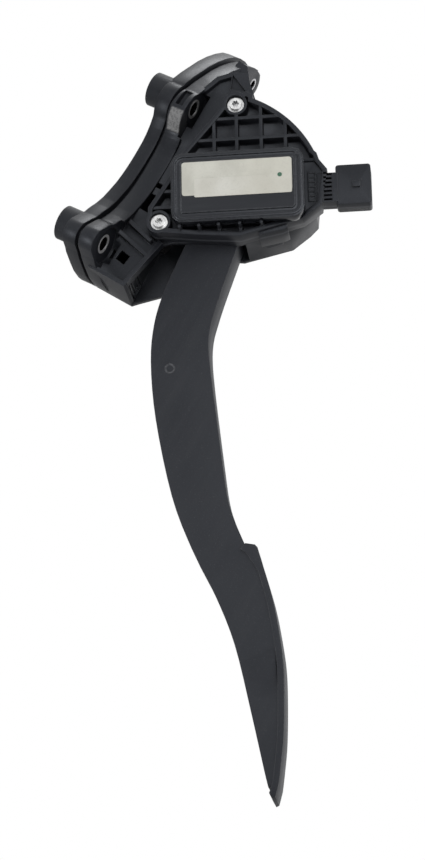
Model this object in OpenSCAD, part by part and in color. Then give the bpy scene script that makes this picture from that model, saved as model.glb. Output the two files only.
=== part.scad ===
// Suspended electronic accelerator pedal module.
// Row frame, in mm: X is the normal of the mounting face, away from the bulkhead and towards the driver.
// Z is up along the mounting face. Y is across it, away from the side that carries the sensor.
// The origin is the centre of the lower boss's end face, on the bulkhead.

/* [Mounting] */
// distance between the lower and the upper mounting hole, up the flange
hole_up_z = 98.2; // [96:0.1:100]
// sideways offset of the upper mounting hole
hole_up_y = 12.6; // [11:0.1:14]
// height of the far mounting hole
hole_far_z = 145.5; // [144.5:0.5:146]
// sideways offset of the far mounting hole
hole_far_y = 65.5; // [65:0.5:66]
// outer radius of the small bush in the far hole
far_bush_r = 3.8; // [3.6:0.1:4]
// bore radius of the small bush in the far hole
far_bore_r = 2.7; // [2.6:0.05:2.8]
// outer radius of a steel mounting bush
bush_r = 5.7; // [5.5:0.05:5.9]
// bore radius of a steel mounting bush
bush_bore_r = 4.2; // [4.1:0.05:4.4]
// length of a steel mounting bush, bulkhead to bolt head
bush_len = 28; // [28:0.5:28.5]
// radius of the lower flange ear
ear_r = 12.2; // [12:0.1:12.6]
// radius of the upper flange ear
ear_up_r = 14; // [13.5:0.25:14.5]
// radius where the ears run into the hollow side of the flange
ear_fillet = 7; // [5:0.5:9]
// radius of a tubular boss behind the flange
boss_r = 10; // [9:0.25:10.5]
// length of a tubular boss
boss_len = 10.2; // [9.6:0.1:10.8]
// thickness of the isolating back plate
plate_t = 8.3; // [7.7:0.1:8.9]
// how far the back plate and its bosses stand above the flange
plate_up = 2.2; // [1.6:0.1:2.8]
// width of the groove between the back plate and the flange
groove_w = 2.3; // [1.8:0.1:2.8]
// thickness of the front flange
flange_t = 8.7; // [8.2:0.1:9.2]
// radius of the spot face round a mounting hole
spot_r = 11; // [10.75:0.05:11.25]

/* [Pedal head] */
// turn of the pedal about the vertical of the flange
flange_skew = 7.5; // [6:0.5:8]
// lean of the sensor housing on the flange
flange_lean = 30; // [29:0.5:31]
// depth of the screwed sensor housing
house_d = 14; // [13.5:0.25:14.5]
// wall of the bracket and of the sensor housing
wall = 2.5; // [2.25:0.05:2.75]
// radius of the curved roof
roof_r = 68.2; // [67.5:0.1:69]
// thickness of a stiffening rib
rib_t = 1.8; // [1.5:0.1:2.1]

/* [Sensor] */
// length of the sensor cover
cover_x = 74; // [73:0.25:75]
// height of the sensor cover
cover_z = 41; // [40:0.25:41.5]
// corner radius of the sensor cover
cover_r = 7; // [6:0.25:8]
// height of the sensor cover above the ribbed face
cover_h = 8; // [7.5:0.25:8.5]
// length of the label
label_x = 61.4; // [60:0.2:62]
// height of the label
label_z = 20; // [19:0.25:21]
// number of contacts in the connector
contacts = 6; // [6:1:6]
// length of the connector shell
shell_x = 19.5; // [19:0.25:20]
// width of the connector shell
shell_z = 23.4; // [23:0.1:24]
// height of the connector shell
shell_y = 12; // [11.5:0.25:12.5]

/* [Pivot and arm] */
// radius of the pivot shaft
shaft_r = 5; // [4.5:0.1:5.5]
// radius of the arm's hub
hub_r = 17; // [16:0.25:17.5]
// thickness of the arm at the hub
arm_t = 22; // [21:0.25:22.5]
// thickness of the arm's web at the pad
web_t = 13; // [12:0.25:14]
// width of the pad plate
pad_w = 32; // [30:0.5:34]
// turn of the pad's face away from the sensor side
pad_skew = 0.8; // [0.4:0.1:1.2]
// wire radius of the outer return spring
wire_r = 1.3; // [1.1:0.05:1.4]
// coil radius of the outer return spring
coil_r = 8.4; // [8.2:0.1:8.6]
// radial clearance of a pressed-in or laid-in piece
seat_gap = 0.05; // [0.04:0.01:0.08]
// radial running clearance of the pivot
run_gap = 0.04; // [0.03:0.01:0.06]

/* [Hidden] */
$fn = 64;
ring_x = bush_len;
flange_back = boss_len + plate_t + groove_w;
flange_front = flange_back + flange_t;
head_x = flange_front - 1.5;
pivot_x = 76.3;
pivot_z = 26.3;
arm_y = 17;
arm_far = arm_y + arm_t;
head_d = arm_far + wall + 2.5;
term_y = 10.4;
far_in = head_d - wall - 0.5;
near_in = house_d + wall;
mid_y = arm_y + arm_t / 2;
screw_up = [-0.4, 51.9];
screw_low = [-44.6, -16.4];
cover_mid = [0.3, -0.3];
shaft_y0 = 6.5;
nose_y = 7.5;
shaft_y1 = head_d - 0.8;
shoe_r = coil_r + wire_r + 0.1;
seat_x = 0.8 - hub_r - shoe_r;
seat_z = 12;
roof_z = 37;

black = [0.09, 0.09, 0.1];
steel = [0.72, 0.73, 0.75];

// the pedal's own frame: pivot along Y through the origin, X along the sensor cover
module head() {
    translate([head_x, 0, 0])
    rotate([0, 0, flange_skew])
    rotate([0, -flange_lean, 0])
    translate([pivot_x, -5, pivot_z])
    children();
}

// the pedal's frame turned so that its Z is the row's Z
module upright() {
    head()
    rotate([0, flange_lean, 0])
    children();
}

// a drawing in X and Z given a depth in Y
module slab(y0, y1) {
    translate([0, y1, 0])
    rotate([90, 0, 0])
    linear_extrude(height = y1 - y0)
    children();
}

// a drawing in Y and Z given a depth in X
module sheet(x0, x1) {
    translate([x0, 0, 0])
    rotate([90, 0, 90])
    linear_extrude(height = x1 - x0)
    children();
}

// a round bar along Y
module bar(y0, y1, r, at = [0, 0]) {
    translate([at[0], y1, at[1]])
    rotate([90, 0, 0])
    cylinder(h = y1 - y0, r = r);
}

// a round bar along X
module peg(x0, x1, r, at = [0, 0]) {
    translate([x0, at[0], at[1]])
    rotate([0, 90, 0])
    cylinder(h = x1 - x0, r = r);
}

module rounded(w, h, r) {
    translate([-w / 2 + r, -h / 2])
    square([w - 2 * r, h]);
    translate([-w / 2, -h / 2 + r])
    square([w, h - 2 * r]);
    for (sx = [-1, 1], sz = [-1, 1])
    translate([sx * (w / 2 - r), sz * (h / 2 - r)])
    circle(r = r, $fn = 40);
}

function holes() = [[0, 0], [hole_up_y, hole_up_z], [hole_far_y, hole_far_z]];
function bush_rad(p) = p[1] > 120 ? far_bush_r : bush_r;
function bore_rad(p) = p[1] > 120 ? far_bore_r : bush_bore_r;

// outline of flange and back plate, with the two ear radii
module flange_shape(ra, rb, drop = 0) {
    // the ears flow into the hollow side
    offset(r = -ear_fillet)
    offset(delta = ear_fillet) {
        polygon([[-10, -10 - drop], [0, -12.8 - drop], [12, -14.6 - drop], [21, -15.6 - drop],
            [31, -15.4 - drop], [36, -14.6 - drop], [40, -13 - drop], [54, -10 - drop], [59, 40],
            [64, 90], [72, hole_far_z - 7], [67, hole_far_z + 8.2], [60.9, 153.2], [53, 150.8],
            [45, 147.2], [37, 141.6], [29.2, 135], [22, 127.6], [15.4, 119.4], [10, 112.6], [5.6, 106.2],
            [1.5, 96], [3, 88], [5.8, 84.5], [8, 81], [10.4, 76], [12, 71], [12.8, 66], [13, 60],
            [12.9, 54], [12.4, 48], [11.6, 42.5], [10.3, 37], [8.1, 31], [5.4, 24.5], [1.6, 18.5],
            [-2.8, 13.2], [-9, 4]]);
        // the lower ear, drawn out on its left
        translate([0, -drop])
        hull() {
            circle(r = ra);
            translate([-9.6, -3])
            circle(r = ra - 4.6);
        }
        translate([hole_up_y + 0.6, hole_up_z - 4.5])
        circle(r = rb);
        translate([hole_far_y, hole_far_z])
        circle(r = 8.2);
    }
}

module back_plate() color(black) {
    difference() {
        union() {
            translate([0, 0, plate_up]) {
                sheet(boss_len, boss_len + plate_t)
                flange_shape(ear_r, ear_up_r - 1, plate_up);
                for (p = holes())
                peg(0, boss_len + 1, p[1] > 120 ? 7 : boss_r, p);
            }
            sheet(boss_len + plate_t - 1, flange_back)
            offset(delta = -3.4)
            flange_shape(ear_r, ear_up_r);
        }
        for (p = holes())
        peg(-1, flange_back + 1, bush_rad(p) + seat_gap, p);
        // lightening pocket in the face that meets the bulkhead
        sheet(boss_len - 1, boss_len + 4)
        polygon([[24, 0], [46, 2], [50, 80], [54, 118], [34, 112], [26, 70]]);
    }
}

module bush(p) color(steel) {
    difference() {
        peg(0, ring_x, bush_rad(p), p);
        peg(-1, ring_x + 1, bore_rad(p), p);
    }
}

module bush_lower() bush(holes()[0]);
module bush_upper() bush(holes()[1]);
module bush_far() bush(holes()[2]);

// round end of the head under the roof, in the pedal's frame
module roof_shape() {
    intersection() {
        translate([-19.24, -7.4])
        circle(r = roof_r, $fn = 160);
        polygon([[0, 0], [41, 15], [44, 24], [36, 60], [8, 68], [-10, 48]]);
    }
}

// side view of the bracket's walls, in the upright frame
module side_shape() {
    polygon([[-54, -75.2], [-32.2, -76.4], [-25.2, -44], [-21, -40.5], [-5, -32], [13, -24.5],
        [34, -5], [39, 6.7], [40.7, 13.2], [36.5, 22.5], [34, 32], [0, 48],
        [-17.4, 52.2], [-21.7, 57.1], [-25.2, 60.7], [-28.8, 64.2], [-33, 69.3], [-40.7, 66.5],
        [-47.9, 59.7], [-51.5, 50.4], [-54, 49]]);
    rotate(flange_lean)
    roof_shape();
}

module wall_shape() {
    difference() {
        side_shape();
        offset(delta = -wall)
        side_shape();
        // open below, where the arm comes out, and at the flange
        polygon([[-70, 0], [-70, -90], [70, -90], [70, -28], [15.4, -28], [15.4, -20], [-51, -20]]);
        translate([-70, -80])
        square([19.5, 128]);
    }
}

module inside(y0, x0) {
    slab(y0, far_in)
    difference() {
        intersection() {
            translate([0.4, 0])
            offset(delta = -wall - 0.01)
            side_shape();
            union() {
                translate([x0, -20])
                square([90, 100]);
                translate([-40.2, -20])
                square([13.2, 38]);
            }
        }
        polygon(rest_bar);
        polygon(spring_bar);
    }
}

neck_window = [[-55, -30], [-47.5, -30.5], [-43, -31], [-40.5, -31], [-38.6, -26], [-37.6, -12],
    [-37.6, 8], [-36.8, 25], [-36.8, 50], [-37.4, 56.3], [-41, 64.6], [-46.6, 58.6], [-50, 50],
    [-51.5, 48], [-55, 48]];
neck_y = 18.2;
rest_bar = [[-52, -14], [-31, -14], [-31, -17], [-52, -19]];
travel_bar = [[-52, -48], [-31, -41.5], [-29.6, -36.2], [-32.5, -35.6], [-34, -39.6], [-52, -45]];
landing_wall = [[-35, -74], [-32.6, -74], [-32.6, -41], [-35, -41]];
spring_bar = [[-52, roof_z], [-15, roof_z], [-15, roof_z + 4], [-52, roof_z + 4]];

module bracket() color(black) {
    difference() {
        union() {
            bracket_body();
            head() {
                bar(near_in - 0.5, house_d + nose_y + 1.5, 5.4, screw_up);
                bar(near_in - 0.5, house_d + nose_y + 1.5, 3.6, screw_low);
            }
        }
        head() {
            bar(house_d - 1, house_d + nose_y + 0.5, 1.9 + seat_gap, screw_up);
            bar(house_d - 1, house_d + nose_y + 0.5, 1.9 + seat_gap, screw_low);
        }
    }
}

module bracket_body() {
    difference() {
        union() {
            sheet(flange_back, flange_front)
            flange_shape(ear_r, ear_up_r);
            // rim along the hollow side, thicker than the ears
            sheet(flange_front - 0.4, flange_front + 2)
            intersection() {
                difference() {
                    flange_shape(ear_r, ear_up_r);
                    offset(delta = -2.4)
                    flange_shape(ear_r, ear_up_r);
                }
                polygon([[-6, 17], [22, 17], [22, 78], [-4, 78]]);
            }
            upright() {
                // near wall, behind the sensor housing, and far wall
                slab(house_d, near_in)
                difference() {
                    side_shape();
                    polygon(neck_window);
                }
                // the near wall lies deeper beside the flange
                slab(neck_y, neck_y + 2.2)
                polygon([[-52.5, -11], [-40.3, -11], [-40.3, 17], [-36.5, 21], [-36.5, 52], [-37.5, 57],
                    [-41, 65.5], [-47.9, 59.7], [-51.5, 50.4], [-52.5, 50]]);
                slab(far_in, head_d)
                union() {
                    side_shape();
                    polygon([[-56, 40], [-50, 84], [-44, 83], [-38, 75], [-28.8, 64.2], [-20, 50]]);
                    polygon([[-32.2, -76.4], [-29.2, -73.4], [-19.1, -64.1], [-12, -50], [-8, -30],
                        [-30, -30]]);
                }
                // curved roof, right side and lower right edge
                slab(house_d, head_d)
                wall_shape();
                // floor of the lower channel, and the rim of the pocketed box
                slab(10, head_d)
                polygon([[-56, -75.2], [-32.2, -76.4], [-31.4, -74], [-56, -72.5]]);
                slab(10, house_d + 1)
                polygon([[-34.6, -76.2], [-32.2, -76.4], [-25.2, -44], [-27.8, -43.6]]);
                // wedge ribs of the box
                slab(10.5, house_d + 1)
                polygon([[-56, -48.5], [-56, -46], [-29.5, -53.2], [-29.9, -55.4]]);
                slab(8.5, house_d + 1)
                polygon([[-48, -42.4], [-48, -40], [-31, -45.2], [-31.5, -47.2]]);
                // bearing bosses
                bar(house_d, arm_y - 0.3, shaft_r + 5);
                bar(arm_far + 0.3, head_d, shaft_r + 5);
                // cross bars that carry the stops and the springs
                slab(neck_y, head_d) {
                    polygon(rest_bar);
                    polygon(spring_bar);
                }
                slab(house_d, head_d) {
                    polygon(travel_bar);
                    polygon(landing_wall);
                }
                // nested frames on the wall behind the arm
                for (i = [0, 1])
                sheet(-32.8, -31.7)
                translate([far_in - 13.4, -67.8])
                difference() {
                    square([22 - 7 * i, 9.6 - 4.6 * i], center = true);
                    square([19.4 - 7 * i, 7.2 - 4.6 * i], center = true);
                }
                // catch of the housing's tongue on the lower right edge
                slab(house_d + 8.5, house_d + 12.5)
                polygon([[22.8, -14], [30.4, -7.1], [31.7, -9.66], [24.8, -16.2]]);
            }
        }
        for (p = holes()) {
            peg(flange_back - 1, flange_front + 3, bush_rad(p) + seat_gap, p);
            peg(ring_x, flange_front + 3, p[1] > 120 ? 10.5 : spot_r, p + [1.2, 0]);
        }
        // slot in the edge of the upper ear
        sheet(ring_x - 5.8, ring_x - 1)
        polygon([[-8, hole_up_z - 5.6], [3.6, hole_up_z - 5.6], [5.6, hole_up_z + 5.4],
            [-6, hole_up_z + 5.4]]);
        upright() {
            // inside of the head
            inside(near_in, -36.4);
            inside(31.5, -47);
            // inside of the lower channel
            slab(near_in, far_in)
            difference() {
                polygon([[-47, -13], [-31, -10], [-20, -10], [15, -10], [15, -40], [-20, -60],
                    [-25, -73], [-47, -72.9]]);
                polygon(rest_bar);
                polygon(travel_bar);
                polygon([[-35, -74], [-31.7, -74], [-31.7, -41], [-35, -41]]);
            }
            // square opening in the pocket
            slab(9, near_in + 1)
            polygon([[-45.6, -63], [-39.6, -64.2], [-38.8, -58.2], [-44.8, -57]]);
            // three-cornered pocket above the upper screw
            slab(house_d - 1, house_d + 2.1)
            polygon([[-40.6, 64.8], [-37.1, 56.3], [-28.6, 58.8]]);
            // seats of the shaft bushes
            bar(house_d - 1, arm_y + 1, shaft_r + 1.5 + seat_gap);
            bar(arm_far - 1, shaft_y1 + 0.3, shaft_r + 1.5 + seat_gap);
        }
    }
}

// side view of the sensor housing, in the pedal's frame
module house_shape() {
    polygon([[-50.5, -8], [-51, -19], [-47.5, -22.6], [-21.6, -25.9], [0.6, -27.9], [11.5, -25.2],
        [35.8, -19.3], [46.4, -11.7], [50, 9], [45.6, 15], [44.4, 19.1], [41.4, 22], [30, 22],
        [20, 43], [9, 50], [9.6, 57], [5.5, 59], [-7, 52], [-15, 42.3], [-30.1, 24.8],
        [-39.9, 7.9]]);
    translate(screw_up)
    circle(r = 7.4);
    translate(screw_low)
    circle(r = 7);
    roof_shape();
}

module well_shape(grow = 0) {
    translate(cover_mid)
    rounded(cover_x - 3 + 2 * grow, cover_z - 3 + 2 * grow, cover_r - 1.5 + grow);
}

// ribs of the channel under the cover
low_ribs = [-32.5, -21.7, -10.8, 1, 13];

// cells open towards the camera, closed by a floor
module house_ribs() {
    for (x = [-12.9, -0.2, 13.6, 27.2])
    translate([x - rib_t / 2, 18])
    square([rib_t, 40]);
    for (z = [30.8, 43.3])
    translate([-30, z - rib_t / 2])
    square([80, rib_t]);
    for (x = low_ribs)
    translate([x - rib_t / 2, -40])
    square([rib_t, 24]);
    translate([36, 14.6])
    square([20, rib_t]);
    translate([-52, 0.5])
    square([20, rib_t]);
    translate([-60, -9])
    square([26, rib_t]);
}

module sensor_housing() color(black) head() {
    difference() {
        union() {
            // rim wall
            slab(0, house_d - 0.02)
            difference() {
                house_shape();
                offset(delta = -wall)
                house_shape();
            }
            // floor of the cells
            slab(9, 11.5)
            house_shape();
            // raised field beside the connector, with a moulded ladder
            slab(2.2, 10)
            intersection() {
                house_shape();
                translate([35.6, -24])
                square([20, 39.5]);
            }
            slab(1.7, 2.4) {
                for (i = [0:6])
                translate([39.2, -9.2 + i * 2.8])
                square([4, 0.6]);
                for (x = [39, 42.8])
                translate([x, -9.2])
                square([0.6, 17.4]);
            }
            // snap tongue over the lower right edge of the bracket
            slab(3, house_d - 0.1)
            polygon([[11, -24], [26.2, -20.4], [27, -23.2], [24, -24.5], [10.8, -26.9]]);
            slab(house_d - 1, house_d + 8)
            polygon([[11.2, -25.2], [26.6, -21.6], [27, -23.2], [24, -24.5], [10.8, -26.9]]);
            // ribs
            slab(0.8, 10)
            intersection() {
                offset(delta = -wall + 0.01)
                house_shape();
                house_ribs();
            }
            // wall round the sensor well
            slab(-1.5, 10)
            well_shape();
            // screw bosses
            bar(0.4, house_d - 0.02, 6.6, screw_up);
            bar(0.4, house_d - 0.02, 6.6, screw_low);
            // pins on the channel's ribs, beside the cover
            for (x = low_ribs)
            bar(-5.5, 5, 0.9, [x, cover_mid[1] - cover_z / 2 - 1.4]);
            // neck towards the connector
            slab(2, 13)
            polygon([[44, -10], [55.5, -10], [55.5, 7.4], [44, 7.4]]);
            // connector shell
            slab(3, 3 + shell_y)
            translate([54.4 + shell_x / 2, 0.3])
            rounded(shell_x, shell_z, 1.6);
            // latch bump
            slab(1.6, 4)
            translate([65.7, 0.1])
            square([4.4, 3.8], center = true);
        }
        // sensor well
        slab(-3, 8.2)
        well_shape(-2.2);
        // shaft passage through the floor
        bar(5, 12, shaft_r + 2.2);
        // connector socket
        slab(3 + 1.6, 3 + shell_y - 1.6)
        translate([54.4 + shell_x / 2 + 4, 0.3])
        square([shell_x, shell_z - 3.2], center = true);
        // slots of the neck
        for (i = [0:6])
        slab(0, 5)
        translate([47.6, -9 + i * 2.5])
        square([4.6, 1.15]);
        // contact passages
        for (i = [0:contacts - 1]) {
            slab(term_y - 0.4, term_y + 0.4)
            translate([30.9, -8.5 + i * 3.4])
            square([39, 0.8]);
            slab(8, term_y)
            translate([30.9, -8.5 + i * 3.4])
            square([0.8, 0.8]);
        }
        // seat of the cover's edge on the rim
        slab(-2, 0.75)
        difference() {
            cover_plan(0.35);
            well_shape(0.04);
        }
        // screw passages with head seats
        for (p = [screw_up, screw_low]) {
            bar(-1, house_d + 1, 1.9 + seat_gap, p);
            bar(-1, 3, 5.2, p);
        }
    }
}

module cover_plan(grow = 0) {
    translate(cover_mid)
    rounded(cover_x + 2 * grow, cover_z + 2 * grow, cover_r + grow);
}

module sensor_cover() color([0.1, 0.1, 0.11]) head() {
    difference() {
        union() {
            slab(-cover_h + 0.8, 0.6)
            cover_plan();
            // raised rim and plateau
            slab(-cover_h, 0)
            cover_plan(-1);
        }
        slab(-cover_h - 1, -cover_h + 1.2)
        difference() {
            cover_plan(-2.6);
            cover_plan(-5);
        }
        slab(-cover_h - 1, -cover_h + 0.4)
        cover_plan(-5.6);
        // hollow that fits over the well wall
        slab(-cover_h + 2.6, 3)
        well_shape(0.08);
    }
}

module cover_seal() color([0.05, 0.05, 0.05]) head() {
    slab(-cover_h + 2.6, -1.5)
    difference() {
        well_shape(-0.1);
        well_shape(-2);
    }
}

module label() color([0.85, 0.83, 0.74]) head() {
    slab(-cover_h + 0.2, -cover_h + 0.4)
    translate([0.2, 4.4])
    rounded(label_x, label_z, 1.6);
}

module screw(p) color(steel) head() {
    difference() {
        union() {
            bar(2.2, 3, 4.75, p);
            bar(0.2, 2.4, 3.4, p);
            bar(2.8, house_d + nose_y, 1.9, p);
        }
        // six-lobed recess
        for (i = [0:2])
        translate([p[0], 1.6, p[1]])
        rotate([0, i * 60, 0])
        cube([3.9, 3.2, 1.1], center = true);
        bar(-1, 1.6, 1.5, p);
    }
}

module screw_upper() screw(screw_up);
module screw_lower() screw(screw_low);

module connector_terminals() color([0.8, 0.66, 0.3]) head() {
    for (i = [0:contacts - 1]) {
        translate([30.95, term_y - 0.35, -8.5 + i * 3.4 + 0.06])
        cube([35, 0.7, 0.68]);
        translate([30.95, 4.1, -8.5 + i * 3.4 + 0.06])
        cube([0.7, term_y - 4.1, 0.68]);
    }
}

module circuit_board() color([0.08, 0.32, 0.16]) head() {
    difference() {
        slab(4, 5.5)
        well_shape(-2.4);
        for (i = [0:contacts - 1])
        slab(3, 6)
        translate([30.85, -8.5 + i * 3.4])
        square([0.9, 0.8]);
    }
    // passive parts on the board
    for (p = [[-20, 6], [-20, -6], [18, 8], [22, -8]])
    translate([p[0] - 1.5, 3, p[1] - 1])
    cube([3, 1, 2]);
}

module hall_chip() color([0.04, 0.04, 0.05]) head() {
    for (x = [-3.4, 3.4]) {
        translate([x - 2.5, 2.5, -2])
        cube([5, 1.5, 4]);
        for (z = [-2.6, 2])
        translate([x - 2, 3.5, z])
        cube([4, 0.5, 0.6]);
    }
}

module magnet_carrier() color([0.15, 0.15, 0.16]) head() {
    difference() {
        union() {
            bar(6, 8.4, 6.6);
            bar(8.3, 13.4, shaft_r + 1.6);
        }
        bar(shaft_y0 + 1.7, 14, shaft_r + seat_gap);
        bar(5.9, 7.4, 4.3 + seat_gap);
    }
}

module magnet() color([0.3, 0.3, 0.32]) head()
bar(5.95, 7.4, 4.3);

module pivot_shaft() color(steel) head()
bar(shaft_y0 + 1.7, shaft_y1, shaft_r);

module shaft_bush(y0, y1) color([0.62, 0.5, 0.28]) head() {
    difference() {
        bar(y0, y1, shaft_r + 1.5);
        bar(y0 - 1, y1 + 1, shaft_r + run_gap);
    }
}

module shaft_bush_near() shaft_bush(house_d, arm_y - 0.3);
module shaft_bush_far() shaft_bush(arm_far + 0.3, shaft_y1);

// a smooth line through a few stations
function spot(a, b, c, d, t) = 0.5 * (2 * b + (c - a) * t + (2 * a - 5 * b + 4 * c - d) * t * t
    + (3 * b - a - 3 * c + d) * t * t * t);
function smooth(p, k = 4) = [for (i = [1:len(p) - 3], j = [0:k - 1])
    spot(p[i - 1], p[i], p[i + 1], p[i + 2], j / k)];

// edge of the arm towards the bulkhead, in the pedal's frame, from the hub down
web_back = [[-18, 2], [-23.6, -9], [-30.6, -22.6], [-37.7, -37.4], [-44.8, -53.4], [-50, -71],
    [-52.1, -93], [-49.7, -126.6], [-41.4, -170.5], [-30.8, -201], [-18.6, -227.1], [-8.6, -254.7],
    [-0.4, -292.5], [5.7, -323], [7.9, -333], [8.9, -339]];
// edge of the web towards the driver, from the pad up
web_front = [[12.4, -339], [11.8, -331], [13.9, -306], [13.9, -281], [12.6, -248.7], [9.8, -230.5],
    [6.2, -215], [0.2, -202], [-1.5, -200.6], [-7.6, -185.1], [-11.1, -172], [-13.8, -149],
    [-16.4, -124.6], [-18.4, -106], [-19.8, -88], [-19, -76], [-16, -65], [-11.7, -52.1],
    [-5.6, -35.5], [0.6, -18], [6, 0]];
// the driver's face of the pad, from the top down
pad_face = [[4, -194], [5, -202], [8.4, -214.6], [12.4, -230.5], [15.1, -246.5], [17, -262.5],
    [17.3, -279], [16.5, -303], [14.6, -320], [12.8, -332], [11.6, -338]];

module arm_shape() {
    polygon(concat(smooth(web_back), smooth(web_front)));
}

module pad_shape() {
    face = smooth(pad_face);
    polygon(concat([[-4.5, -202.5], [-1.6, -199.4], [3.6, -200.4]], face, [[11.2, -336.6], [9.6, -337.4],
        [8, -334.5]], [for (i = [len(face) - 1:-1:4]) face[i] - [3.4, 0.4]], [[-1, -205]]));
}

module pedal_arm() color([0.1, 0.1, 0.1]) head() {
    difference() {
        union() {
            intersection() {
                slab(arm_y, arm_far)
                arm_shape();
                // the web gets thinner towards the pad
                translate([-100, 0, 0])
                sheet(0, 200)
                polygon([[arm_y, 20], [arm_far, 20], [arm_far, -88], [arm_y + web_t + 3, -125],
                    [arm_y + web_t, -345], [arm_y, -345]]);
            }
            // the pad turns away from the sensor side
            translate([0, arm_y - 2, 0])
            rotate([0, 0, pad_skew])
            slab(0, pad_w)
            pad_shape();
            bar(arm_y, arm_far, hub_r);
            rotate([0, flange_lean, 0]) {
                // lever that lifts the friction shoe and the springs
                slab(arm_y + 1, arm_far - 1)
                polygon([[-38, -7], [-38, 4.4], [-36.4, 6], [-14, 6], [-8, 12], [0, 14], [0, -16], [-10, -15],
                    [-24, -8], [-31, -7]]);
            }
            // moulded mark on the web
            bar(arm_y - 0.25, arm_y + 1, 2.9, [-41.5, -97.4]);
        }
        bar(arm_y - 1, arm_far + 1, shaft_r + seat_gap);
        bar(arm_y - 0.6, arm_y + 0.1, 2.3, [-41.5, -97.4]);
    }
}

// round saucer between the lever and the springs
module friction_shoe() color([0.75, 0.74, 0.7]) upright() {
    difference() {
        union() {
            translate([seat_x, mid_y, 6.02])
            cylinder(h = seat_z - 6.02, r = shoe_r);
            translate([seat_x, mid_y, seat_z - 1])
            cylinder(h = 4, r = 3.6);
        }
    }
}

// a coil spring along the row's Z, one turn drawn at a time
module coil(r, w, turns, z0, z1, hand = 1) {
    pitch = (z1 - z0 - 2 * w) / turns;
    union() {
        for (i = [0:turns - 1])
        translate([0, 0, z0 + w + i * pitch])
        linear_extrude(height = pitch + 0.01, twist = -hand * 360, slices = 12, $fn = 6)
        translate([r, 0])
        circle(r = w, $fn = 6);
        // closed and ground ends
        for (z = [z0 + w, z1 - w])
        translate([0, 0, z])
        rotate_extrude($fn = 24)
        translate([r, 0])
        circle(r = w, $fn = 6);
    }
}

module spring_outer() color(steel) upright()
translate([seat_x, mid_y, 0])
coil(coil_r, wire_r, 5, seat_z, roof_z);

module spring_inner() color(steel) upright()
translate([seat_x, mid_y, 0])
coil(coil_r - 3.4, 0.9, 6, seat_z, roof_z, -1);

module rest_stop() color([0.05, 0.05, 0.05]) upright() {
    slab(arm_y + 2, arm_far - 2)
    polygon([[-40, -13.98], [-32, -13.98], [-32, -7.04], [-40, -7.04]]);
}

module travel_stop() color([0.05, 0.05, 0.05]) upright() {
    slab(arm_y + 7.5, arm_far - 2)
    polygon([[-29.55, -36.2], [-30.95, -41.5], [-28.8, -42], [-27.4, -36.8]]);
}

back_plate();
bush_lower();
bush_upper();
bush_far();
bracket();
sensor_housing();
sensor_cover();
cover_seal();
label();
screw_upper();
screw_lower();
connector_terminals();
circuit_board();
hall_chip();
magnet_carrier();
magnet();
pivot_shaft();
shaft_bush_near();
shaft_bush_far();
pedal_arm();
friction_shoe();
spring_outer();
spring_inner();
rest_stop();
travel_stop();
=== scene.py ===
import math

import bmesh
import bpy
from mathutils import Matrix, Vector


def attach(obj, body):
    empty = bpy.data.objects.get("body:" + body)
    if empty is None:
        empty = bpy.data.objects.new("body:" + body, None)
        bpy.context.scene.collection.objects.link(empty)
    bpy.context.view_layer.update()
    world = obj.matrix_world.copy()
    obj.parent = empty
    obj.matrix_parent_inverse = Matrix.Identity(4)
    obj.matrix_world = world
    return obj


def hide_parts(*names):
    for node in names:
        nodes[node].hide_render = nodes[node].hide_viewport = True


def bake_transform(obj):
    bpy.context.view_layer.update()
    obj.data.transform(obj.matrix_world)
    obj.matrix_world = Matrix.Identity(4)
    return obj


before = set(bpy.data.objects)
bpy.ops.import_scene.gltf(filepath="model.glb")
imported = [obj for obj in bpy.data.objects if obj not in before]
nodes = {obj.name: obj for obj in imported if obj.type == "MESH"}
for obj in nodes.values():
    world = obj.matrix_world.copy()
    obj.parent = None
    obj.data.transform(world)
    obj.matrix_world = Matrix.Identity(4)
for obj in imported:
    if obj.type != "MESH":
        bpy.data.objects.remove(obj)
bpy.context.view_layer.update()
MM = 0.001
# tint of the reflections on black plastic
COOL = (0.86, 0.91, 1.0, 1.0)
# corners of a moulding that are steeper than this, in degrees, get a small round
ROUND_ABOVE = 38
# faces that meet at more than this, in degrees, are shaded apart
SPLIT_ABOVE = 34
# vertices closer than this are joined, in metres
WELD_WITHIN = 1e-6
# where the sheets on the label begin, in mm along y of the pedal frame
LABEL_FACE = -7.62
# where a bush's bore ends and its turned end face begins, in metres along x of the row frame
BORE_END = 0.0274
# the middle of the round mark on the lever, x and z in metres in the pedal frame
MARK = (-0.0415, -0.0974)

# The pedal frame of the CAD. The sensor housing lies flat in it, x along the sensor cover, y into the part.
HEAD_TURN = Matrix.Rotation(math.radians(7.5), 4, "Z")
HEAD_LEAN = Matrix.Rotation(math.radians(-30), 4, "Y")
HEAD = (Matrix.Translation((0.028, 0, 0)) @ HEAD_TURN @ HEAD_LEAN
        @ Matrix.Translation((0.0763, -0.005, 0.0263)))


def place(name, data):
    """A new object in the scene."""
    obj = bpy.data.objects.new(name, data)
    bpy.context.scene.collection.objects.link(obj)
    return obj


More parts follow.
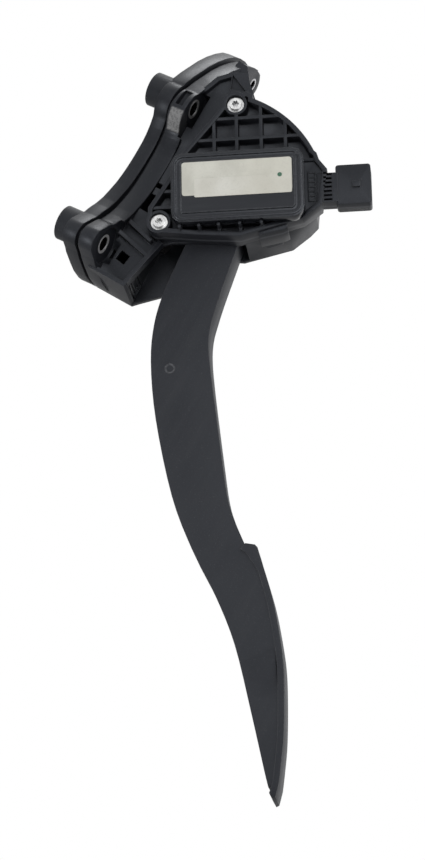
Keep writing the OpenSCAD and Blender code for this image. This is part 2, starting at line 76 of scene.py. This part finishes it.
class Tree:
    """A short way to write a material's nodes."""

    def __init__(self, name):
        self.mat = bpy.data.materials.new(name)
        self.mat.use_nodes = True
        self.nt = self.mat.node_tree
        self.nt.nodes.clear()
        out = self.nt.nodes.new("ShaderNodeOutputMaterial")
        self.bsdf = self.nt.nodes.new("ShaderNodeBsdfPrincipled")
        self.nt.links.new(self.bsdf.outputs[0], out.inputs["Surface"])
        self.coord = self.nt.nodes.new("ShaderNodeTexCoord").outputs["Object"]

    def put(self, socket, value):
        if isinstance(value, bpy.types.NodeSocket):
            self.nt.links.new(value, socket)
        elif isinstance(value, (tuple, list)) and len(value) == 3 and socket.type == "RGBA":
            socket.default_value = (*value, 1)
        else:
            socket.default_value = value

    def math(self, op, a, b=0.0, clamp=False):
        n = self.nt.nodes.new("ShaderNodeMath")
        n.operation, n.use_clamp = op, clamp
        for s, v in zip(n.inputs, (a, b)):
            self.put(s, v)
        return n.outputs[0]

    def noise(self, scale, detail=3.0, rough=0.5, vector=None, distortion=0.0):
        n = self.nt.nodes.new("ShaderNodeTexNoise")
        self.put(n.inputs["Vector"], vector or self.coord)
        self.put(n.inputs["Scale"], scale)
        self.put(n.inputs["Detail"], detail)
        self.put(n.inputs["Roughness"], rough)
        self.put(n.inputs["Distortion"], distortion)
        return n.outputs["Fac"]

    def voronoi(self, scale):
        n = self.nt.nodes.new("ShaderNodeTexVoronoi")
        self.put(n.inputs["Vector"], self.coord)
        self.put(n.inputs["Scale"], scale)
        return n.outputs["Distance"]

    def ramp(self, fac, lo, hi, to_lo=0.0, to_hi=1.0):
        n = self.nt.nodes.new("ShaderNodeMapRange")
        n.interpolation_type = "SMOOTHSTEP"
        ends = {"From Min": lo, "From Max": hi, "To Min": to_lo, "To Max": to_hi}
        for key, v in {"Value": fac, **ends}.items():
            self.put(n.inputs[key], v)
        return n.outputs["Result"]

    def mix(self, fac, a, b):
        n = self.nt.nodes.new("ShaderNodeMix")
        n.data_type = "RGBA"
        self.put(n.inputs[0], fac)
        self.put(n.inputs[6], a)
        self.put(n.inputs[7], b)
        return n.outputs[2]

    def mapped(self, matrix):
        """Object coordinates taken into another frame, such as the pedal frame: its x, y and z, in metres."""
        m = matrix.inverted()
        outs = []
        for row in range(3):
            d = self.nt.nodes.new("ShaderNodeVectorMath")
            d.operation = "DOT_PRODUCT"
            self.put(d.inputs[0], self.coord)
            d.inputs[1].default_value = m[row][:3]
            outs.append(self.math("ADD", d.outputs["Value"], m[row][3]))
        return outs

    def stretched(self, sx, sy, sz, matrix=None):
        """Object coordinates scaled along the axes of a frame, for streaks."""
        n = self.nt.nodes.new("ShaderNodeCombineXYZ")
        x, y, z = self.mapped(matrix or Matrix.Identity(4))
        for s, v, k in zip(n.inputs, (x, y, z), (sx, sy, sz)):
            self.put(s, self.math("MULTIPLY", v, k))
        return n.outputs[0]

    def bevel(self, radius, samples=6):
        n = self.nt.nodes.new("ShaderNodeBevel")
        n.samples = samples
        n.inputs["Radius"].default_value = radius
        return n.outputs["Normal"]

    def edge(self, normal, scale, least, detail=3.0, rough=0.5, gain=4.0):
        """0 on flats and up to 1 on rounded corners, where the rounded normal leans away, in noisy patches.
        It marks the corners that are painted lighter: painted highlight, partly also wear.
        """
        g = self.nt.nodes.new("ShaderNodeNewGeometry")
        d = self.nt.nodes.new("ShaderNodeVectorMath")
        d.operation = "DOT_PRODUCT"
        self.put(d.inputs[0], g.outputs["Normal"])
        self.put(d.inputs[1], normal)
        lean = self.math("MULTIPLY", self.math("SUBTRACT", 1.0, d.outputs["Value"]), gain, clamp=True)
        return self.both(lean, self.ramp(self.noise(scale, detail, rough), 0.3, 0.6, least, 1.0))

    def bump(self, height, distance, strength=1.0, normal=None):
        n = self.nt.nodes.new("ShaderNodeBump")
        self.put(n.inputs["Height"], height)
        n.inputs["Distance"].default_value = distance
        n.inputs["Strength"].default_value = strength
        if normal is not None:
            self.put(n.inputs["Normal"], normal)
        return n.outputs["Normal"]

    def both(self, mask_a, mask_b):
        return self.math("MULTIPLY", mask_a, mask_b, clamp=True)

    def band(self, value, lo, hi, soft):
        """1 between lo and hi, with soft shoulders."""
        rise = self.ramp(value, lo - soft, lo + soft)
        return self.both(rise, self.ramp(value, hi - soft, hi + soft, 1.0, 0.0))

    def grained(self, cloud, lo, hi, grit, less=-0.03, more=0.04):
        """Roughness that follows broad clouds and a fine grain."""
        return self.math("ADD", self.ramp(cloud, 0.3, 0.7, lo, hi), self.ramp(grit, 0.3, 0.7, less, more))

    def finish(self, color, rough, normal, metallic=0.0, specular=0.5, tint=(1.0, 1.0, 1.0, 1.0)):
        self.put(self.bsdf.inputs["Base Color"], color)
        self.put(self.bsdf.inputs["Roughness"], rough)
        self.put(self.bsdf.inputs["Metallic"], metallic)
        if normal is not None:
            self.put(self.bsdf.inputs["Normal"], normal)
        self.bsdf.inputs["Specular IOR Level"].default_value = specular
        self.bsdf.inputs["Specular Tint"].default_value = tint
        return self.mat


def moulded(name, dark, light, rough, grain=0.00003, patch=False, floor=False):
    """Glass-filled black plastic with a fine spark-eroded grain, faint flow clouds, and corners painted
    lighter, partly wear and partly a painted highlight.
    """
    t = Tree(name)
    dust_and_edge_sheen = (0.09, 0.092, 0.096)
    cloud = t.noise(22.0, 4.0, 0.55, distortion=0.6)
    fleck = t.noise(1500.0, 2.0, 0.6)
    grit = t.noise(3600.0, 2.0, 0.5)
    base = t.mix(t.ramp(cloud, 0.35, 0.68), dark, light)
    base = t.mix(t.ramp(fleck, 0.58, 0.76, 0.0, 0.22), base, dust_and_edge_sheen)
    soft = t.bevel(0.0006)
    # rounded corners painted lighter in the dust colour: partly wear, partly a painted highlight on the edge
    # walls
    base = t.mix(t.math("MULTIPLY", t.edge(soft, 420.0, 0.35, rough=0.6), 0.45), base, dust_and_edge_sheen)
    height = t.math("ADD", t.math("MULTIPLY", grit, 0.6), t.math("MULTIPLY", fleck, 0.4))
    r = t.grained(cloud, rough - 0.05, rough + 0.06, grit)
    normal = t.bump(height, grain, 0.9, soft)
    if floor:
        # painted light: the floor of the open cells is painted lighter than the tops of the ribs
        deep = t.mapped(HEAD)[1]
        mask = t.both(t.band(deep, 0.0078, 0.0098, 0.0003), t.ramp(cloud, 0.3, 0.7, 0.6, 1.0))
        base = t.mix(mask, base, (0.05, 0.052, 0.059))
    if patch:
        # the rough, light patch that is eroded into the flange's edge wall under the upper ear
        x, y, z = t.mapped(Matrix.Identity(4))
        mask = t.both(t.band(x, 0.0213, 0.0292, 0.0005), t.band(z, 0.0798, 0.0903, 0.0006))
        mask = t.both(mask, t.ramp(y, 0.0105, 0.0125, 1.0, 0.0))
        cells = t.voronoi(900.0)
        base = t.mix(t.both(mask, t.ramp(cells, 0.1, 0.7, 0.55, 1.0)), base, (0.21, 0.21, 0.21))
        normal = t.bump(t.math("MULTIPLY", cells, mask), 0.0005, 0.8, normal)
        r = t.math("ADD", r, t.math("MULTIPLY", mask, 0.2))
    return t.finish(base, r, normal, specular=0.3, tint=COOL)


def glossy_cover(name):
    """The sensor cover, fine-grained and semi-gloss, with flow streaks along its length."""
    t = Tree(name)
    streak = t.noise(60.0, 4.0, 0.6, vector=t.stretched(0.25, 1.0, 2.2, HEAD))
    grit = t.noise(4200.0, 2.0, 0.5)
    base = t.mix(t.ramp(streak, 0.35, 0.7), (0.0062, 0.0066, 0.0084), (0.012, 0.0126, 0.0148))
    soft = t.bevel(0.0005)
    # the rounded rims are painted lighter: a painted highlight along the cover's rims
    base = t.mix(t.math("MULTIPLY", t.edge(soft, 500.0, 0.3), 0.8), base, (0.16, 0.164, 0.174))
    r = t.grained(streak, 0.17, 0.25, grit, -0.02, 0.03)
    normal = t.bump(t.math("ADD", grit, t.math("MULTIPLY", streak, 1.5)), 0.00001, 0.8, soft)
    return t.finish(base, r, normal, specular=0.42, tint=COOL)


def pedal_plastic(name):
    """The lever, matt and slightly dusty, with long faint streaks of flow down its near face."""
    t = Tree(name)
    cloud = t.noise(9.0, 3.0, 0.5, distortion=0.4)
    streak = t.noise(34.0, 4.0, 0.6, vector=t.stretched(1.6, 1.0, 0.22))
    fleck = t.noise(1700.0, 2.0, 0.6)
    grit = t.noise(3800.0, 2.0, 0.5)
    base = t.mix(t.ramp(cloud, 0.3, 0.7), (0.0115, 0.0123, 0.0152), (0.0195, 0.0205, 0.0242))
    base = t.mix(t.ramp(streak, 0.45, 0.75, 0.0, 0.5), base, (0.032, 0.0335, 0.0375))
    base = t.mix(t.ramp(fleck, 0.58, 0.76, 0.0, 0.25), base, (0.09, 0.09, 0.094))
    # the round moulding mark on the near face, rubbed lighter on its ring
    x, y, z = t.mapped(HEAD)
    dx, dz = t.math("SUBTRACT", x, MARK[0]), t.math("SUBTRACT", z, MARK[1])
    away = t.math("SQRT", t.math("ADD", t.math("POWER", dx, 2.0), t.math("POWER", dz, 2.0)))
    ring = t.both(t.band(away, 0.0019, 0.0029, 0.0002), t.ramp(t.noise(500.0, 3.0), 0.35, 0.65, 0.2, 1.0))
    ring = t.both(ring, t.ramp(y, 0.0172, 0.0176, 1.0, 0.0))
    base = t.mix(ring, base, (0.085, 0.087, 0.094))
    soft = t.bevel(0.0007)
    # rounded corners painted lighter: partly wear, partly a painted highlight
    base = t.mix(t.math("MULTIPLY", t.edge(soft, 300.0, 0.3), 0.5), base, (0.13, 0.13, 0.135))
    r = t.grained(streak, 0.5, 0.6, grit)
    normal = t.bump(t.math("ADD", grit, t.math("MULTIPLY", fleck, 0.6)), 0.000025, 0.9, soft)
    return t.finish(base, r, normal, specular=0.28, tint=COOL)


def metal(name, color, tint, rough, rings=None, bore=None):
    """Plated or turned metal with fine tool marks and a little tarnish; inside a bore the metal is painted
    near black, a painted shade.
    """
    t = Tree(name)
    tarnish = t.noise(260.0, 4.0, 0.6)
    grit = t.noise(3000.0, 2.0, 0.5)
    base = t.mix(t.ramp(tarnish, 0.35, 0.7), color, tint)
    soft = t.bevel(0.0003, 4)
    r = t.grained(tarnish, rough - 0.06, rough + 0.08, grit)
    height = grit
    if rings:
        # the turned end face is bright, and its tool marks run round
        x = t.mapped(Matrix.Identity(4))[0]
        height = t.math("ADD", t.math("MULTIPLY", grit, 0.4), t.math("SINE", t.math("MULTIPLY", x, rings)))
        face = t.ramp(x, bore - 0.0002, bore + 0.0002)
        # inside the bore, short of the end face, the colour is painted near black: painted shade in the hole
        base = t.mix(face, (0.05, 0.05, 0.054), base)
        r = t.math("ADD", r, t.math("MULTIPLY", face, 0.25))
    normal = t.bump(height, 0.00001, 0.7, soft)
    return t.finish(base, r, normal, metallic=1.0)


def film(name, pale=(0.66, 0.655, 0.59), warm=(0.50, 0.495, 0.44)):
    """The bare label, a cream film, unevenly yellowed, with tiny bubbles."""
    t = Tree(name)
    x = t.mapped(HEAD)[0]
    cloud = t.noise(45.0, 4.0, 0.55)
    fibre = t.noise(900.0, 3.0, 0.6)
    base = t.mix(t.ramp(cloud, 0.3, 0.7), warm, pale)
    base = t.mix(t.ramp(x, -0.006, 0.012, 0.0, 0.35), base, (0.59, 0.575, 0.49))
    base = t.mix(t.ramp(fibre, 0.5, 0.8, 0.0, 0.35), base, (0.42, 0.41, 0.37))
    soft = t.bevel(0.0002, 4)
    blister = t.ramp(t.noise(160.0, 2.0), 0.55, 0.8)
    normal = t.bump(t.math("ADD", blister, t.math("MULTIPLY", fibre, 0.3)), 0.00004, 0.7, soft)
    r = t.ramp(cloud, 0.3, 0.7, 0.4, 0.52)
    return t.finish(base, r, normal, specular=0.35)


def plain(name, dark, light, rough, metallic=0.0):
    """Rubber, board, chip, shoe and the other small inner pieces."""
    t = Tree(name)
    cloud = t.noise(60.0)
    grit = t.noise(2400.0, 2.0)
    base = t.mix(t.ramp(cloud, 0.3, 0.7), dark, light)
    soft = t.bevel(0.0003, 4)
    r = t.ramp(t.math("ADD", cloud, t.math("MULTIPLY", grit, 0.5)), 0.4, 1.1, rough - 0.06, rough + 0.08)
    return t.finish(base, r, t.bump(grit, 0.00003, 0.8, soft), metallic=metallic, specular=0.35)


BLACK = moulded("moulded_black_grain", (0.0075, 0.0082, 0.0105), (0.0145, 0.0154, 0.0188), 0.4, patch=True)
# the housing gets painted light on the floors of its open cells (floor=True)
HOUSING = moulded("housing_black_grain", (0.0075, 0.0082, 0.0105), (0.0135, 0.0143, 0.0175), 0.37,
                  grain=0.000025, floor=True)
PLATE = moulded("isolator_black_grain", (0.0068, 0.0073, 0.0092), (0.0125, 0.0132, 0.016), 0.42)
COVER = glossy_cover("cover_black_gloss")
LEVER = pedal_plastic("lever_black_matt")
BUSH = metal("bush_turned_steel", (0.62, 0.62, 0.63), (0.45, 0.45, 0.46), 0.28, rings=9000.0, bore=BORE_END)
SCREW = metal("screw_zinc_plate", (0.72, 0.725, 0.72), (0.42, 0.42, 0.43), 0.22)
SHAFT = metal("shaft_ground_steel", (0.6, 0.6, 0.62), (0.46, 0.46, 0.48), 0.24)
SPRING = metal("spring_drawn_steel", (0.26, 0.26, 0.28), (0.16, 0.155, 0.15), 0.36)
BRONZE = metal("bearing_sintered_bronze", (0.5, 0.33, 0.15), (0.34, 0.21, 0.09), 0.42)
BRASS = metal("contact_tinned_brass", (0.66, 0.6, 0.46), (0.5, 0.42, 0.28), 0.3)
FILM = film("label_cream_film")
FILM_TOP = film("label_print_coat", (0.67, 0.665, 0.61), (0.56, 0.55, 0.49))
INK = plain("dot_green_ink", (0.05, 0.13, 0.085), (0.075, 0.17, 0.11), 0.45)
RUBBER = plain("seal_black_rubber", (0.012, 0.012, 0.013), (0.022, 0.022, 0.023), 0.7)
BOARD = plain("board_green_resist", (0.012, 0.09, 0.035), (0.02, 0.13, 0.05), 0.3)
CHIP = plain("chip_black_epoxy", (0.012, 0.012, 0.013), (0.02, 0.02, 0.022), 0.5)
MAGNET = plain("magnet_sintered_dark", (0.09, 0.09, 0.1), (0.14, 0.14, 0.15), 0.45, metallic=0.8)
CARRIER = plain("carrier_grey_plastic", (0.07, 0.07, 0.075), (0.1, 0.1, 0.105), 0.45)
SHOE = plain("shoe_white_plastic", (0.5, 0.49, 0.44), (0.6, 0.59, 0.54), 0.4)

PAINT = {
    "bracket": BLACK, "sensor_housing": HOUSING, "back_plate": PLATE, "sensor_cover": COVER,
    "pedal_arm": LEVER, "bush_lower": BUSH, "bush_upper": BUSH, "bush_far": BUSH, "screw_upper": SCREW,
    "screw_lower": SCREW, "pivot_shaft": SHAFT, "spring_outer": SPRING, "spring_inner": SPRING,
    "shaft_bush_near": BRONZE, "shaft_bush_far": BRONZE, "connector_terminals": BRASS, "label": FILM,
    "cover_seal": RUBBER, "rest_stop": RUBBER, "travel_stop": RUBBER, "circuit_board": BOARD,
    "hall_chip": CHIP, "magnet": MAGNET, "magnet_carrier": CARRIER, "friction_shoe": SHOE,
}
# mouldings whose edges get a small real round, and its width in mm
ROUND = {"bracket": 0.35, "sensor_housing": 0.25, "back_plate": 0.4, "sensor_cover": 0.3, "pedal_arm": 0.5}


def dress(name, obj):
    """Paint a CAD node, shade its drawn curves smooth and round the sharp edges of the mouldings."""
    mesh = obj.data
    mesh.materials.clear()
    mesh.materials.append(PAINT[name])
    mesh.polygons.foreach_set("use_smooth", [True] * len(mesh.polygons))
    custom = mesh.attributes.get("custom_normal")
    if custom:
        mesh.attributes.remove(custom)
    weld = obj.modifiers.new("weld", "WELD")
    weld.merge_threshold = WELD_WITHIN
    if name in ROUND:
        bevel = obj.modifiers.new("round", "BEVEL")
        bevel.width = ROUND[name] * MM
        bevel.segments = 2
        bevel.limit_method = "ANGLE"
        bevel.angle_limit = math.radians(ROUND_ABOVE)
    split = obj.modifiers.new("sharp", "EDGE_SPLIT")
    split.split_angle = math.radians(SPLIT_ABOVE)
    split.use_edge_sharp = False


for name, obj in nodes.items():
    dress(name, obj)


def film_sheet(name, centre, width, height, corner, thick, material):
    """A thin sheet with round corners that lies on the label, in mm in the pedal frame."""
    mesh = bpy.data.meshes.new(name)
    bm = bmesh.new()
    x0, y0, z0 = centre
    steps = 8
    ring = []
    for cx, cz, start in ((1, 1, 0), (-1, 1, 90), (-1, -1, 180), (1, -1, 270)):
        for k in range(steps + 1):
            a = math.radians(start + k * 90 / steps)
            ring.append((x0 + cx * (width / 2 - corner) + corner * math.cos(a),
                         z0 + cz * (height / 2 - corner) + corner * math.sin(a)))
    under, over = [[bm.verts.new(HEAD @ (Vector((x, y, z)) * MM)) for x, z in ring]
                   for y in (y0, y0 - thick)]
    n = len(ring)
    for k in range(n):
        bm.faces.new((under[k], under[(k + 1) % n], over[(k + 1) % n], over[k]))
    bm.faces.new(under)
    bm.faces.new(over)
    bmesh.ops.recalc_face_normals(bm, faces=bm.faces)
    bm.to_mesh(mesh)
    bm.free()
    mesh.materials.append(material)
    sheet = place(name, mesh)
    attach(sheet, "base")


def bent_spring(node):
    """A copy of a spring, welded and shaded smooth, that takes the place of the hidden CAD spring."""
    mesh = nodes[node].data.copy()
    bm = bmesh.new()
    bm.from_mesh(mesh)
    bmesh.ops.remove_doubles(bm, verts=bm.verts, dist=WELD_WITHIN)
    bm.to_mesh(mesh)
    bm.free()
    mesh.polygons.foreach_set("use_smooth", [True] * len(mesh.polygons))
    piece = place(node + "_coil", mesh)
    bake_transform(piece)
    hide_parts(node)


# the label's print coat, a second layer that reaches a little lower, laid onto the label
film_sheet("label_print_coat", (3.55, LABEL_FACE, -1.2), 54.3, 11.2, 0.9, 0.26, FILM_TOP)
bent_spring("spring_outer")
bent_spring("spring_inner")
# its inked inspection dot, a disc
film_sheet("label_dot", (24.1, LABEL_FACE - 0.08, 4.0), 2.5, 2.5, 1.2, 0.24, INK)

# the camera, as the photograph was taken
cam_data = bpy.data.cameras.new("camera")
camera = place("camera", cam_data)
right = Vector((0.84773, 0.22160, 0.48192))
up = Vector((-0.39390, -0.34551, 0.85175))
back = right.cross(up)
eye = (0.61608, -1.22310, -0.34605)
camera.matrix_world = Matrix.Translation(eye) @ Matrix((right, up, back)).transposed().to_4x4()
cam_data.sensor_fit = "VERTICAL"
cam_data.sensor_height = 36
cam_data.lens = 104.65
cam_data.clip_start, cam_data.clip_end = 0.05, 60
bpy.context.scene.camera = camera

# a wide pale floor, low enough that the part is also seen from below
floor_mesh = bpy.data.meshes.new("floor")
reach, floor_z = 20.0, -0.75
corners = [(sx * reach, sy * reach, floor_z) for sx, sy in ((-1, -1), (1, -1), (1, 1), (-1, 1))]
floor_mesh.from_pydata(corners, [], [(0, 1, 2, 3)])
floor = place("floor", floor_mesh)
t = Tree("floor_pale")
pale = t.mix(t.noise(3.0), (0.78, 0.78, 0.78), (0.82, 0.82, 0.82))
floor_mesh.materials.append(t.finish(pale, 0.8, None))

# the world lights the part softly, and is white where the camera or a reflection sees it
world = bpy.data.worlds.new("studio")
bpy.context.scene.world = world
world.use_nodes = True
wt = world.node_tree
wt.nodes.clear()
rays = wt.nodes.new("ShaderNodeLightPath")
seen = rays.outputs["Is Camera Ray"]
for key in ("Is Glossy Ray", "Is Transmission Ray"):
    m = wt.nodes.new("ShaderNodeMath")
    m.operation = "MAXIMUM"
    wt.links.new(seen, m.inputs[0])
    wt.links.new(rays.outputs[key], m.inputs[1])
    seen = m.outputs[0]
pick = wt.nodes.new("ShaderNodeMixShader")
wt.links.new(seen, pick.inputs[0])
for slot, level in ((1, 0.44), (2, 1.0)):
    shade = wt.nodes.new("ShaderNodeBackground")
    shade.inputs["Color"].default_value = (1, 1, 1, 1)
    shade.inputs["Strength"].default_value = level
    wt.links.new(shade.outputs[0], pick.inputs[slot])
wt.links.new(pick.outputs[0], wt.nodes.new("ShaderNodeOutputWorld").inputs["Surface"])

# the middle of the pedal head, which the lamps are aimed at
CENTRE = Vector((0.06, 0.02, 0.0))


def softbox(name, side, height, near, size, power):
    """An area lamp placed in the camera's own directions round the part, aimed at it."""
    data = bpy.data.lights.new(name, "AREA")
    data.shape, data.energy = "RECTANGLE", power
    data.size, data.size_y = size
    lamp = place(name, data)
    spot = CENTRE + right * side + up * height + back * near
    lamp.location = spot
    lamp.visible_camera = False
    lamp.rotation_mode = "QUATERNION"
    lamp.rotation_quaternion = (CENTRE - spot).to_track_quat("-Z", "Y")


softbox("soft_left", -0.46, -0.06, 0.4, (0.15, 0.3), 1.5)
softbox("soft_top", 0.35, 0.95, -0.55, (0.6, 0.3), 5.5)
softbox("soft_right", 0.95, 0.2, 0.2, (0.4, 1.0), 3)
softbox("soft_front", 0.2, 0.5, 1.1, (0.8, 0.6), 3.2)

bpy.context.scene.view_settings.view_transform = "Standard"
